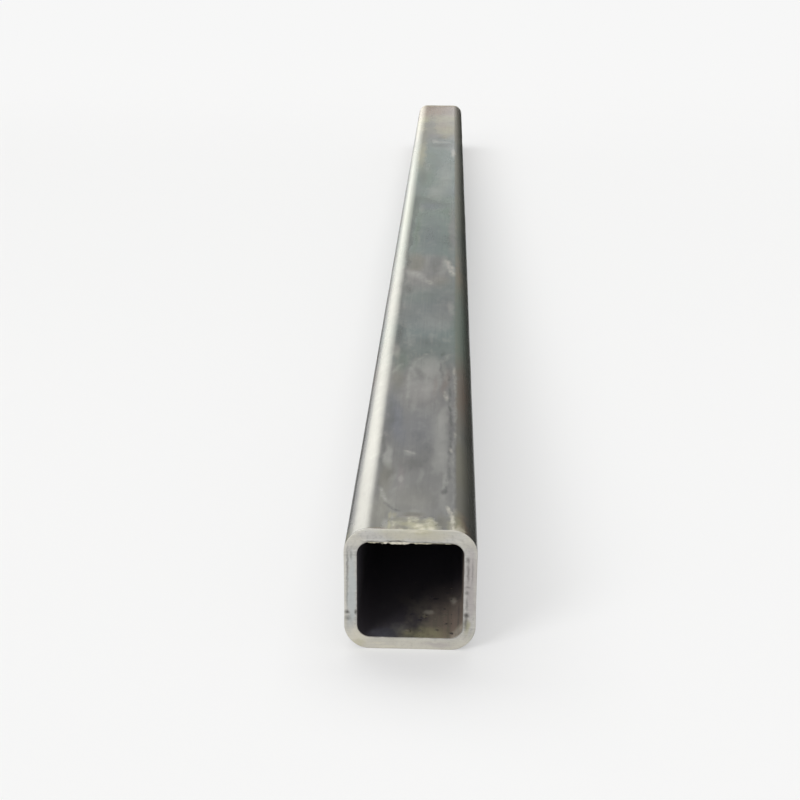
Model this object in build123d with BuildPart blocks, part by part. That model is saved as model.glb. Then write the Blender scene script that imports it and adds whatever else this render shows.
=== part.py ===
"""Square steel tube: one length of thick-walled hollow section, lying flat.

Millimetres. The tube runs along Y, with X across and +Z up. The origin is the middle of the
underside, so the tube rests on Z = 0, with a cut end at -Y and another at +Y.
"""

import os

from build123d import *

# Driving dimensions of the section and of the length of stock.
side = 250.0  # outer width and height, flat face to flat face
wall = 25.0  # wall thickness, the same in the flats and round the corners
inner_corner_radius = 25.0  # radius in the corners of the bore
length = 6000.0  # from cut end to cut end
edge_break = 1.0  # small bevel where each cut end meets the outer faces

# The wall keeps its thickness round a corner, so both corner arcs have one centre.
outer_corner_radius = inner_corner_radius + wall
bore_side = side - 2 * wall

# The section stands across the tube's length, with its centre half a side above the floor.
section_plane = Plane(origin=(0, 0, side / 2), x_dir=(1, 0, 0), z_dir=(0, -1, 0))

with BuildPart() as tube:
    with BuildSketch(section_plane):
        RectangleRounded(side, side, outer_corner_radius)
        RectangleRounded(bore_side, bore_side, inner_corner_radius, mode=Mode.SUBTRACT)
    extrude(amount=length / 2, both=True)
    # The cut ends are the first and the last face along the length.
    end_faces = tube.faces().sort_by(Axis.Y)
    outer_rims = [end_faces[0].outer_wire(), end_faces[-1].outer_wire()]
    chamfer([edge for rim in outer_rims for edge in rim.edges()], length=edge_break)

tube.part.label = "tube"

os.makedirs("parts", exist_ok=True)
export_step(tube.part, "parts/tube.step")
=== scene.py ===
"""Square steel tube: one sawn length of thick-walled hollow section, lying on a pale floor.

The tube runs along Y with its near sawn end at -Y. Metres, +Z up, floor at Z = 0.
"""

import math

import bpy
import numpy as np
from bpy.props import FloatProperty, FloatVectorProperty, PointerProperty
from mathutils import Matrix, Vector


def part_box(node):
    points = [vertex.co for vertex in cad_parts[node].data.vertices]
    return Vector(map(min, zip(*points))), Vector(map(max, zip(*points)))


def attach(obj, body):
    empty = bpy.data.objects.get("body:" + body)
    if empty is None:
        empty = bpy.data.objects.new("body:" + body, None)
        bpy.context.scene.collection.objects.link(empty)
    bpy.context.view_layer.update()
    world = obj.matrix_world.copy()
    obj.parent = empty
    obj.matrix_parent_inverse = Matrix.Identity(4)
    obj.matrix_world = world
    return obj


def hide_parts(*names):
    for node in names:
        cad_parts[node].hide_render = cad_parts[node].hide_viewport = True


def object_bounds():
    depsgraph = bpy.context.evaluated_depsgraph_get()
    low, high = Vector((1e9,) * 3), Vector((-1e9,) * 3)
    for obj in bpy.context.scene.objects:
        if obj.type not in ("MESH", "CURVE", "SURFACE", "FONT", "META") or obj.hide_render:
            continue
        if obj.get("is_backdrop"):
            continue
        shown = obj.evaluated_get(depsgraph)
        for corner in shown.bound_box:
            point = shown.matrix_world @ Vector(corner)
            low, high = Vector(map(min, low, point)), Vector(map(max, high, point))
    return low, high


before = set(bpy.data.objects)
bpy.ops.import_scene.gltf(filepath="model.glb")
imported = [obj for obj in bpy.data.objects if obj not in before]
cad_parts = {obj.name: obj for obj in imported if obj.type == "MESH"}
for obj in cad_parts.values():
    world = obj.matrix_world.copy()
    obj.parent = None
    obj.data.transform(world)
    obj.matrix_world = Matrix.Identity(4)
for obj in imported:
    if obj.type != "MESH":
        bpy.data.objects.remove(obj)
cad_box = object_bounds()

bl_info = {
    "name": "Square steel tube",
    "version": (1, 0, 0),
    "blender": (4, 5, 0),
    "location": "3D View > Sidebar > Tube",
    "description": "Makes a sawn length of square hollow section with mill scale, and its stage",
    "category": "Add Mesh",
}

TUBE_LOW, TUBE_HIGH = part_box("tube")
SIDE = TUBE_HIGH.x - TUBE_LOW.x
LENGTH = TUBE_HIGH.y - TUBE_LOW.y
NEAR_END = TUBE_LOW.y


# ---------------------------------------------------------------- settings


def size(name, description, default):
    """A length that a user may change, in metres."""
    return FloatProperty(
        name=name, description=description, default=default, unit="LENGTH", precision=4
    )


def angle(name, description, degrees):
    """An angle, given in degrees."""
    return FloatProperty(
        name=name, description=description, default=math.radians(degrees), subtype="ANGLE"
    )


def colour(name, description, default):
    """A plain red, green and blue colour, as light intensities from 0 to 1."""
    return FloatVectorProperty(
        name=name, description=description, default=default, subtype="COLOR", min=0.0, max=1.0
    )


def share(name, description, default):
    """A number from 0 to 1."""
    return FloatProperty(
        name=name, description=description, default=default, subtype="FACTOR", min=0.0, max=1.0
    )


class TubeSizes(bpy.types.PropertyGroup):
    """Sizes of the section, of its cut ends and of its small unevenness."""

    side: size("Side", "Outer width and height of the section", SIDE)
    length: size("Length", "From cut end to cut end", LENGTH)
    wall: size("Wall", "Wall thickness of the sides and the bottom", 0.025)
    top_wall: size("Top wall", "Wall thickness of the top, which came out thick", 0.0275)
    bore_radius: size("Bore radius", "Radius in the corners of the bore", 0.025)
    edge_break: size("Edge break", "Width of the bevel round a cut end", 0.001)
    hollow: size("Hollow", "How far each flat face sinks in the middle", 0.0005)
    wave: size("Wave", "Height of the long waves that rolling leaves", 0.00025)
    burr_drop: size("Burr drop", "How far the saw burr hangs into the bore", 0.0032)
    flake: size("Flake", "Half width of the largest loose flake of scale", 0.007)


class TubeColours(bpy.types.PropertyGroup):
    """Colours of the steel, of its scale and of its rust."""

    grey: colour("Grey scale", "Plain grey mill scale", (0.155, 0.155, 0.150))
    blue: colour("Blue scale", "Blue-grey mill scale", (0.110, 0.120, 0.150))
    green: colour("Green scale", "Dark green-grey mill scale", (0.105, 0.145, 0.115))
    teal: colour("Teal scale", "Blue-green mill scale", (0.130, 0.168, 0.155))
    mauve: colour("Mauve scale", "Pinkish grey mill scale", (0.178, 0.162, 0.160))
    warm: colour("Warm scale", "Brownish mill scale", (0.260, 0.200, 0.155))
    olive: colour("Olive scale", "Yellowish worn scale", (0.300, 0.285, 0.190))
    pale: colour("Pale scale", "Worn patches of the scale", (0.340, 0.340, 0.315))
    drab: colour("Drab scale", "Brown-olive scale of the corners", (0.155, 0.148, 0.108))
    # This colour is also the painted shade of the tube's left and right sides.
    dark: colour("Dark scale", "Dark patches of the scale", (0.040, 0.044, 0.042))
    fleck: colour("Fleck", "Bright bare flecks", (0.560, 0.530, 0.460))
    sawn: colour("Sawn steel", "Bare steel of the cut ends", (0.610, 0.600, 0.570))
    sawn_cool: colour("Cool sawn steel", "Bluish part of the cut ends", (0.530, 0.560, 0.558))
    sawn_pink: colour("Pink sawn steel", "Pinkish part of the cut ends", (0.450, 0.412, 0.405))
    # This colour also paints the shadow line along the top of the mouth.
    sawn_dark: colour("Sawn steel marks", "Dark marks in the cut ends", (0.085, 0.080, 0.072))
    sawn_olive: colour("Sawn steel stain", "Olive stain on the cut ends", (0.560, 0.530, 0.400))
    # On the rim of the cut ends this colour is also a painted highlight.
    cream: colour("Cream", "Cream rim and specks of the cut ends", (0.760, 0.720, 0.600))
    stain: colour("Water stain", "Yellowish stain near the cut end", (0.450, 0.425, 0.240))
    rust: colour("Rust", "Orange rust", (0.420, 0.240, 0.110))
    brown: colour("Brown rust", "Dull red-brown rust", (0.150, 0.092, 0.064))
    bore: colour("Bore", "Dark dusty inside of the tube", (0.040, 0.035, 0.044))
    # Near the mouth this dust colour is partly painted light falling into the bore.
    bore_dust: colour("Bore dust", "Olive dust just inside the mouth", (0.220, 0.198, 0.150))
    bore_streak: colour("Bore streaks", "Pinkish streaks inside the tube", (0.290, 0.220, 0.180))


class StageSettings(bpy.types.PropertyGroup):
    """Floor, lamps and camera."""

    floor: colour("Floor", "Pale floor", (0.50, 0.50, 0.496))
    floor_white: share("Floor white", "How white the floor looks wherever nothing shades it", 0.93)
    room: share("Room", "Brightness of the room as it is seen", 0.93)
    ambient: share("Ambient", "Brightness of the room as it lights the tube", 0.36)
    lens: FloatProperty(
        name="Lens", description="Focal length", default=62.55, unit="CAMERA", min=1.0
    )
    heading: angle("Heading", "Turn of the camera to the right of straight along the tube", -1.968)
    pitch: angle("Pitch", "How far the camera looks down", 19.328)
    roll: angle("Roll", "How far the camera leans", 0.376)
    eye: FloatVectorProperty(
        name="Eye",
        description="Where the camera stands",
        default=(0.0590, -5.3431, 1.3255),
        subtype="TRANSLATION",
        unit="LENGTH",
    )


# ---------------------------------------------------------------- surfaces


# Points along each flat of the section and round each corner.
FLAT_STEPS, CORNER_STEPS = 72, 24
# Finishes of the tube, in the order of its materials.
SKIN, CUT, BORE = 0, 1, 2
# Wavelengths of the skin's long waves, of a sawn edge, and of the burr's strips, teeth and lean.
SKIN_WAVES = (0.21, 0.34, 0.55)
EDGE_WAVES = (0.011, 0.023, 0.052)
STRIP_WAVES = (0.016, 0.029, 0.061)
TOOTH_WAVES = (0.0043, 0.0061, 0.0088)
LEAN_WAVES = (0.007, 0.019)
# How far a sawn edge wanders, and the thickest and thinnest that a loose flake is.
SAW_WANDER = 0.00012
FLAKE_THICK, FLAKE_THIN = 0.0011, 0.0004
FLAKES = 60


def rounded_square(half_width, half_height, radius):
    """Points and outward normals round a rounded rectangle, anticlockwise seen from -Y.

    Each side is a straight run, and each corner a quarter circle: its centre plus radius times
    (cos, sin) of an angle that grows evenly. One side and one corner are worked out in their own
    turned axes, and the four quarter turns of them close the ring.
    Returns the points (x, z), the normals, and each point's place along its flat, -1 to 1, which
    is 1 all through the corners.
    """
    place = np.linspace(-1.0, 1.0, FLAT_STEPS, endpoint=False)
    angle = np.linspace(0.0, math.pi / 2, CORNER_STEPS, endpoint=False)
    points, normals, flats = [], [], []
    for quarter in range(4):
        along, out = (half_width, half_height) if quarter % 2 == 0 else (half_height, half_width)
        run = np.stack([-place * (along - radius), np.full(FLAT_STEPS, out)], -1)
        bend = np.stack([-np.sin(angle), np.cos(angle)], -1)
        corner = bend * radius + [-(along - radius), out - radius]
        turn = quarter * math.pi / 2
        spin = np.array([[math.cos(turn), math.sin(turn)], [-math.sin(turn), math.cos(turn)]])
        points.append(np.concatenate([run, corner]) @ spin)
        normals.append(np.concatenate([np.tile([0.0, 1.0], (FLAT_STEPS, 1)), bend]) @ spin)
        flats.append(np.concatenate([place, np.ones(CORNER_STEPS)]))
    return np.concatenate(points), np.concatenate(normals), np.concatenate(flats)


def waves(points, lengths, seed):
    """A smooth random height for each point, about -1 to 1.

    A sum of sine waves, three for each wavelength in lengths, over the root of their number. Each
    is the sine of the point's distance along a random direction, in wavelengths, plus a random
    phase.
    """
    random = np.random.default_rng(seed)
    height = np.zeros(points.shape[:-1])
    for wavelength in lengths:
        for _ in range(3):
            direction = random.normal(size=3)
            direction /= np.linalg.norm(direction)
            phase = random.uniform(0.0, 2.0 * math.pi)
            height += np.sin(points @ direction * (2.0 * math.pi / wavelength) + phase)
    return height / math.sqrt(3.0 * len(lengths))


def ease(values, low, high):
    """0 below low, 1 above high, and a smooth S between."""
    t = np.clip((values - low) / (high - low), 0.0, 1.0)
    return t * t * (3.0 - 2.0 * t)


def grid_faces(rows, columns, wrap_rows, wrap_columns):
    """Quads of a grid of points, rows by columns, closed on itself where asked."""
    row = np.arange(rows if wrap_rows else rows - 1)[:, None]
    column = np.arange(columns if wrap_columns else columns - 1)[None, :]
    next_row, next_column = (row + 1) % rows, (column + 1) % columns
    corners = ((row, column), (row, next_column), (next_row, next_column), (next_row, column))
    return np.stack([r * columns + c + 0 * (row + column) for r, c in corners], -1).reshape(-1, 4)


def signed_volume(points, faces):
    """Volume inside the faces, which is negative when they point inwards.

    It is a sixth of the sum, over the triangles, of a corner times the cross product of the two
    others.
    """
    a, b, c = points[faces[:, 0]], points[faces[:, 1]], points[faces[:, 2]]
    total = np.einsum("ij,ij->", a, np.cross(b, c))
    if faces.shape[1] == 4:
        d = points[faces[:, 3]]
        total += np.einsum("ij,ij->", a, np.cross(c, d))
    return total / 6.0


def new_object(name, data):
    """A new object in the scene."""
    made = bpy.data.objects.new(name, data)
    bpy.context.scene.collection.objects.link(made)
    return made


def new_piece(name, points, faces, materials, more_faces=(), material_of_face=None, marks=None):
    """A smooth closed mesh object at the origin, with faces pointing outwards."""
    points = points.reshape(-1, 3)
    every_face = faces.tolist() + [list(face) for face in more_faces]
    if signed_volume(points, faces) < 0.0:
        every_face = [face[::-1] for face in every_face]
    mesh = bpy.data.meshes.new(name)
    mesh.from_pydata(points.tolist(), [], every_face)
    for material in materials:
        mesh.materials.append(material)
    if material_of_face is not None:
        mesh.polygons.foreach_set("material_index", material_of_face.astype(np.int32).ravel())
    for mark, values in (marks or {}).items():
        attribute = mesh.attributes.new(mark, "FLOAT", "POINT")
        attribute.data.foreach_set("value", values.astype(np.float32).ravel())
    mesh.shade_smooth()
    mesh.update()
    return new_object(name, mesh)


def stations(length, first, steps, count):
    """Places along a length, the same from both ends.

    Near an end they are the running sum of a first step and the steps, and between the two ends
    they are even, as many as count less two.
    """
    near = np.cumsum([first, *steps])
    middle = np.linspace(near[-1], length - near[-1], count)[1:-1]
    return np.concatenate([near, middle, (length - near)[::-1]]) - length / 2


def tube_stations(sizes):
    """How the wall's surface runs lengthwise, as one closed loop.

    The loop goes along the outside to the far end, across that cut to the bore, back through the
    bore and across the near cut. Returns, for each station, its place along the tube, the share
    of the wall crossed, from 0 outside to 1 in the bore, and the finish of the strip after it.
    """
    half, wall, edge = sizes.length / 2, sizes.wall, sizes.edge_break
    along = stations(sizes.length, edge, np.geomspace(0.003, 0.055, 26), 76)
    bore = stations(sizes.length, 0.0006, np.geomspace(0.004, 0.12, 16), 36)
    # A cut, from its outer bevel to its inner edge: how far inwards and how far across the wall.
    inwards = np.array([0.30 * edge, 0.0, 0.0, 0.0, 0.0, 0.0, 0.00015])
    cut = np.array([0.30 * edge, edge, 0.006, 0.0125, 0.019, wall - 0.0007, wall - 0.0002]) / wall
    place = np.concatenate([along, half - inwards, bore[::-1], (inwards - half)[::-1]])
    across = np.concatenate([0 * along, cut, 0 * bore + 1.0, cut[::-1]])
    strips = (len(along) - 1, len(cut) + 1, len(bore) - 1, len(cut) + 1)
    return place, across, np.repeat((SKIN, CUT, BORE, CUT), strips)


def tube_surface(sizes):
    """The whole surface of the tube as one closed grid, round the section by along the loop.

    A point is the outer ring's point plus the share of the wall crossed times the way from there
    to the matching point of the bore's ring, at the station's place along the tube. The flats
    sink by hollow times 1 minus the square of the place along the flat. Long waves move the skin
    in and out, and small ones make the sawn edges uneven.
    """
    half = sizes.side / 2
    half_bore = half - sizes.wall
    spare = (sizes.top_wall - sizes.wall) / 2
    outer, outward, flat = rounded_square(half, half, sizes.bore_radius + sizes.wall)
    inner, _, _ = rounded_square(half_bore, half_bore - spare, sizes.bore_radius)
    inner = inner - [0.0, spare]
    outer = outer - outward * (sizes.hollow * (1.0 - flat**2))[:, None]
    place, across, finish = tube_stations(sizes)
    section = outer[None] + across[:, None, None] * (inner - outer)[None]
    points = np.empty((len(place), len(outer), 3))
    points[..., 1] = place[:, None]
    points[..., ::2] = section + [0.0, half]
    # Long waves of the skin, which die out where the flats meet the floor.
    sway = waves(points * [1.0, 0.6, 1.0], SKIN_WAVES, seed=3)
    lift = ease(points[..., 2], 0.0, 0.02) * (sway - 1.2) * sizes.wave
    points[..., ::2] += (lift * (1.0 - across[:, None]))[..., None] * outward
    # The saw left the edges of the cut a little uneven.
    at_cut = 1.0 - ease(sizes.length / 2 - np.abs(points[..., 1]), 0.0005, 0.004)
    uneven = waves(points, EDGE_WAVES, seed=11)
    points[..., 1] -= np.sign(points[..., 1]) * at_cut * (SAW_WANDER * (uneven + 1.5))
    return points, across, finish


# Notches of the burr: place across, half width, and depth as a share of the burr's drop.
BURR_NOTCHES = (
    (-0.041, 0.004, 0.75),
    (0.003, 0.003, 0.85),
    (0.048, 0.005, 0.6),
    (0.079, 0.004, 0.5),
    (-0.083, 0.006, 0.6),
)


def burr_surface(sizes):
    """The ragged burr that the saw left along the top of the bore's mouth.

    A closed flat loop, the burr's cross-section, is carried along the top edge of the mouth. The
    loop's drop is a ragged height along the edge: long waves and short teeth, less a few notches,
    and it tapers to nothing at both ends. A point hangs below the top of the mouth by its share
    of the drop, and stands in front of the cut by its own reach times a slow wave.
    """
    half_mouth = sizes.side / 2 - sizes.wall
    reach = half_mouth - 0.012
    along = np.linspace(-reach, reach, 420)
    line = np.stack([along, 0 * along, 0 * along], -1)
    coarse = waves(line, STRIP_WAVES, seed=21)
    fine = waves(line, TOOTH_WAVES, seed=22)
    drop = 0.30 + 0.26 * coarse + 0.16 * fine
    for centre, width, depth in BURR_NOTCHES:
        drop -= depth * np.exp(-(((along - centre) / width) ** 2))
    # The longest strip of the burr hangs a little lower than the rest.
    drop += 0.75 * ease(along, -0.058, -0.053) * (1.0 - ease(along, -0.008, -0.003))
    taper = ease(reach - np.abs(along), 0.0, 0.015)
    drop = np.clip(drop, 0.06, 1.6) * taper * sizes.burr_drop
    mouth_top = sizes.side - sizes.top_wall
    # Loop of the cross-section: how far it hangs, as a share of the drop, and how far it stands
    # in front of the cut, in metres.
    hang = np.array([-0.30, 0.05, 0.45, 0.80, 1.00, 0.92, 0.60, 0.25, -0.10, -0.40])
    front = np.array([0.2, 0.7, 0.9, 0.8, 0.3, -0.5, -1.1, -1.5, -1.9, -1.2]) / 1000.0
    lean = 1.0 + 0.35 * waves(line + [0.3, 0.0, 0.0], LEAN_WAVES, seed=23)
    points = np.empty((len(along), len(hang), 3))
    points[..., 0] = along[:, None]
    points[..., 1] = -sizes.length / 2 - front[None, :] * np.where(
        front > 0, (lean * taper)[:, None] * 0.9 + 0.1, 1.0
    )
    points[..., 2] = mouth_top - hang[None, :] * np.maximum(drop, 0.0002)[:, None]
    return points


def close_strip(points):
    """Points and faces of loops in a row, with each end loop fanned to its own middle point."""
    rows, columns = points.shape[:2]
    ends = np.stack([points[0].mean(0), points[-1].mean(0)])
    every = np.concatenate([points.reshape(-1, 3), ends])
    ring = np.arange(columns)
    after = (ring + 1) % columns
    first, last, base = rows * columns, rows * columns + 1, (rows - 1) * columns
    near_cap = np.stack([0 * ring + first, after, ring], -1)
    far_cap = np.stack([0 * ring + last, base + ring, base + after], -1)
    caps = np.concatenate([near_cap, far_cap]).tolist()
    return every, grid_faces(rows, columns, False, True), caps


def flake_surfaces(sizes):
    """Loose flakes of scale on the bore's floor, just inside the mouth, as one set of grids.

    Each flake is a thin closed lens: rings of points round its middle, where a point is the
    ring's share of the radius times (cos, sin) of its angle, with a ragged outline of three
    waves, raised by the ring's share of the thickness and tilted a little.
    """
    random = np.random.default_rng(5)
    turn = np.linspace(0.0, 2.0 * math.pi, 9, endpoint=False)
    rings = np.array([0.001, 0.55, 0.93, 1.0, 0.93, 0.55, 0.001])
    rise = np.array([1.0, 0.92, 0.70, 0.40, 0.12, 0.0, 0.0])
    radius = np.maximum(sizes.flake * random.uniform(0.10, 1.0, FLAKES) ** 3.0, 0.0009)
    outline = 1.0 + sum(
        random.uniform(0.04, 0.20, (FLAKES, 1))
        * np.sin(k * turn + random.uniform(0.0, 2.0 * math.pi, (FLAKES, 1)))
        for k in (2, 3, 4)
    )
    reach = sizes.side / 2 - sizes.wall - sizes.bore_radius + 0.004
    # They gather at the right and thin out inwards.
    x = np.clip(random.normal(0.040, 0.034, FLAKES), -reach, reach)
    y = 0.008 + 0.26 * random.uniform(0.0, 1.0, FLAKES) ** 1.4 - sizes.length / 2
    swing = random.uniform(0.0, 2.0 * math.pi, FLAKES)
    stretch = random.uniform(0.45, 0.95, FLAKES)
    thick = np.clip(radius * 0.14, FLAKE_THIN, FLAKE_THICK)
    tilt = random.uniform(-0.14, 0.14, (FLAKES, 2))
    x, y, thick, stretch, swing = (v[:, None, None] for v in (x, y, thick, stretch, swing))
    ray = rings[None, :, None] * outline[:, None, :] * radius[:, None, None]
    a, b = ray * np.cos(turn), ray * np.sin(turn) * stretch
    dx = a * np.cos(swing) - b * np.sin(swing)
    dy = a * np.sin(swing) + b * np.cos(swing)
    lean = dx * tilt[:, :1, None] + dy * tilt[:, 1:, None]
    height = rise[None, :, None] * thick + lean - lean.min((1, 2), keepdims=True)
    points = np.stack([x + dx, y + dy, sizes.wall + 0.0001 + height], -1)
    # The first and last rings are tiny loops, so each flake is closed by merging them to a point.
    points[:, 0] = points[:, 0].mean(1, keepdims=True)
    points[:, -1] = points[:, -1].mean(1, keepdims=True)
    stride = len(rings) * len(turn)
    each = grid_faces(len(rings), len(turn), False, True)
    faces = (each[None] + np.arange(FLAKES)[:, None, None] * stride).reshape(-1, 4)
    return points.reshape(-1, 3), faces


# ---------------------------------------------------------------- finishes


class Nodes:
    """A shader node tree, with short ways to add nodes and join them."""

    def __init__(self, tree):
        self.nodes, self.links = tree.nodes, tree.links

    def feed(self, socket, value):
        """Joins a socket to another node's output, or sets its own value."""
        if isinstance(value, bpy.types.NodeSocket):
            self.links.new(value, socket)
        elif value is not None:
            plain = isinstance(value, (int, float)) or len(value) == len(socket.default_value)
            socket.default_value = value if plain else (*value, 1.0)

    def add(self, kind, *inputs, **settings):
        """A new node with its settings, and its first sockets fed in order."""
        node = self.nodes.new(kind)
        for setting, value in settings.items():
            setattr(node, setting, value)
        for socket, value in zip(node.inputs, inputs):
            self.feed(socket, value)
        return node

    def math(self, operation, first, second=None):
        """One step of arithmetic."""
        return self.add("ShaderNodeMath", first, second, operation=operation).outputs[0]

    def times(self, total, *others):
        """The product of all the values."""
        for other in others:
            total = self.math("MULTIPLY", total, other)
        return total

    def largest(self, values):
        """The largest of all the values."""
        total = None
        for value in values:
            total = value if total is None else self.math("MAXIMUM", total, value)
        return total

    def vector(self, operation, *inputs):
        """A node that works on vectors."""
        return self.add("ShaderNodeVectorMath", *inputs, operation=operation)

    def step(self, value, low, high, to_low=0.0, to_high=1.0):
        """A smooth S from to_low at low to to_high at high."""
        return self.add(
            "ShaderNodeMapRange", value, low, high, to_low, to_high, interpolation_type="SMOOTHSTEP"
        ).outputs[0]

    def ramp(self, value, stops):
        """Colours along a line from 0 to 1, each stop a place and a colour."""
        node = self.add("ShaderNodeValToRGB", value)
        places = node.color_ramp.elements
        while len(places) < len(stops):
            places.new(1.0)
        for place, (where, tint) in zip(places, stops):
            place.position = where
            place.color = (*tint, 1.0)
        return node.outputs[0]

    def blend(self, amount, first, second, mode="MIX"):
        """Mixes two colours."""
        node = self.add("ShaderNodeMix", data_type="RGBA", blend_type=mode)
        self.feed(node.inputs[0], amount)
        self.feed(node.inputs[6], first)
        self.feed(node.inputs[7], second)
        return node.outputs[2]


class Finish(Nodes):
    """One material of the steel. Its tint is painted over, colour by colour."""

    def __init__(self, name, colours, tint=None):
        self.material = bpy.data.materials.new(name)
        self.material.use_nodes = True
        super().__init__(self.material.node_tree)
        self.colours = colours
        self.tint = tint
        self.place = self.add("ShaderNodeTexCoord").outputs["Object"]
        split = self.add("ShaderNodeSeparateXYZ", self.place)
        self.x, self.y, self.z = split.outputs

    def paint(self, name, *amounts):
        """Blends a named colour over the tint, by the product of the amounts."""
        self.tint = self.blend(self.times(*amounts), self.tint, getattr(self.colours, name))

    def shade(self, name, value, low, high, most=1.0):
        """Paints a named colour from nothing where a value is low up to most where it is high."""
        self.paint(name, self.step(value, low, high, 0.0, most))

    def mapped(self, scale=(1.0, 1.0, 1.0), shift=(0.0, 0.0, 0.0), place=None):
        """Object coordinates stretched by scale and then moved by shift."""
        return self.add(
            "ShaderNodeMapping", place or self.place, shift, (0.0, 0.0, 0.0), scale
        ).outputs[0]

    def noise(self, scale, detail=2.0, place=None, roughness=0.5, whole=False):
        """Cloudy noise, scale features a metre: its value, or its three values as a vector."""
        node = self.add("ShaderNodeTexNoise", place or self.place)
        node.inputs["Scale"].default_value = scale
        node.inputs["Detail"].default_value = detail
        node.inputs["Roughness"].default_value = roughness
        return node.outputs[1 if whole else 0]

    def warped(self, amount, scale, lengthwise=1.0, detail=3.0, roughness=0.5):
        """Object coordinates pushed about by noise, so that patches get ragged outlines."""
        place = self.mapped((1.0, lengthwise, 1.0)) if lengthwise != 1.0 else None
        noise = self.noise(scale, detail, place, roughness, whole=True)
        push = self.vector("SUBTRACT", noise, (0.5, 0.5, 0.5)).outputs[0]
        grown = self.vector("SCALE", push)
        grown.inputs["Scale"].default_value = amount
        return self.vector("ADD", self.place, grown.outputs[0]).outputs[0]

    def patch(self, place, centre, reach, soft, turn=0.0):
        """1 inside a soft-edged egg round centre, with half sizes reach, and 0 outside."""
        if turn:
            rotate = self.add("ShaderNodeVectorRotate", place, centre, rotation_type="Z_AXIS")
            rotate.inputs["Angle"].default_value = -math.radians(turn)
            place = rotate.outputs[0]
        shrink = [1.0 / half for half in reach]
        shift = [-middle / half for middle, half in zip(centre, reach)]
        local = self.vector("MULTIPLY_ADD", place, shrink, shift).outputs[0]
        distance = self.vector("LENGTH", local).outputs["Value"]
        return self.step(distance, 1.0 + soft, 1.0 - soft)

    def stroke(self, place, corners, reach, soft):
        """1 along a bent line through corners, drawn as one long thin egg for each straight."""

        def eggs():
            for (x, y, z), (x_next, y_next, _) in zip(corners, corners[1:]):
                run = math.hypot(x_next - x, y_next - y)
                turn = math.degrees(math.atan2(x - x_next, y_next - y))
                centre = ((x + x_next) / 2, (y + y_next) / 2, z)
                yield self.patch(place, centre, (reach, 0.58 * run, 0.05), soft, turn)

        return self.largest(eggs())

    def bump(self, height, strength, distance, under=None):
        """A bump from a height, on top of another bump's normal where one is given."""
        node = self.add("ShaderNodeBump")
        node.inputs["Strength"].default_value = strength
        node.inputs["Distance"].default_value = distance
        self.feed(node.inputs["Height"], height)
        self.feed(node.inputs["Normal"], under)
        return node.outputs[0]

    def made(self, **sockets):
        """The material, once the tint and the rest are fed to its shader's sockets."""
        inputs = self.nodes["Principled BSDF"].inputs
        self.feed(inputs["Base Color"], self.tint)
        for name, value in sockets.items():
            self.feed(inputs["IOR" if name == "ior" else name.capitalize()], value)
        return self.material


# Scale colours that follow one another along the tube: share of its length, and colour.
SCALE_DRIFT = (
    (0.00, "grey"),
    (0.08, "grey"),
    (0.16, "grey"),
    (0.21, "teal"),
    (0.28, "grey"),
    (0.37, "teal"),
    (0.47, "green"),
    (0.57, "teal"),
    (0.72, "teal"),
    (0.80, "grey"),
    (0.90, "olive"),
    (0.97, "warm"),
)
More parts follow.
